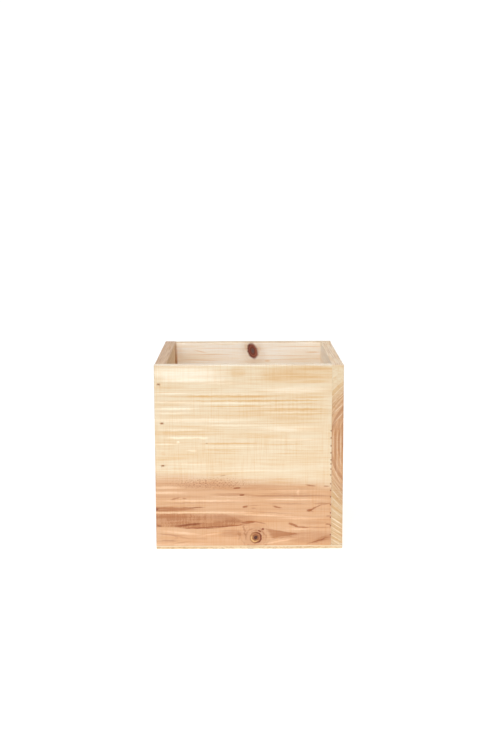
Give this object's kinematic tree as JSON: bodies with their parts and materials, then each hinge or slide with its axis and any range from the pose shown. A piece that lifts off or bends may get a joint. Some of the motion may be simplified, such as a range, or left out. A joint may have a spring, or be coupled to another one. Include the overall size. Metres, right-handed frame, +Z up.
{
  "type": "planter box",
  "caption": "Small open cube planter of plain softwood boards butted like a pinwheel and nailed, on a thin bottom panel with a central drain hole.",
  "frame": {"origin": "centre of the underside, on the surface that the box stands on", "axes": "+Z up to the open rim, front face towards -Y, +X to the right seen from the front"},
  "size_m": [0.1524, 0.1524, 0.1524],
  "materials": {
    "softwood": "bare planed and saw-marked softwood, pale sapwood and pinkish heartwood",
    "thin_panel": "bare thin panel",
    "brad_steel": "dull steel with a brown skin of rust"
  },
  "bodies": {
    "root": {"bottom_panel": "thin_panel", "front_board": "softwood", "front_to_left_brads": "brad_steel", "panel_to_front_brads": "brad_steel", "right_board": "softwood", "right_to_front_brads": "brad_steel", "panel_to_right_brads": "brad_steel", "back_board": "softwood", "back_to_right_brads": "brad_steel", "panel_to_back_brads": "brad_steel", "left_board": "softwood", "left_to_back_brads": "brad_steel", "panel_to_left_brads": "brad_steel"}
  },
  "joints": []
}
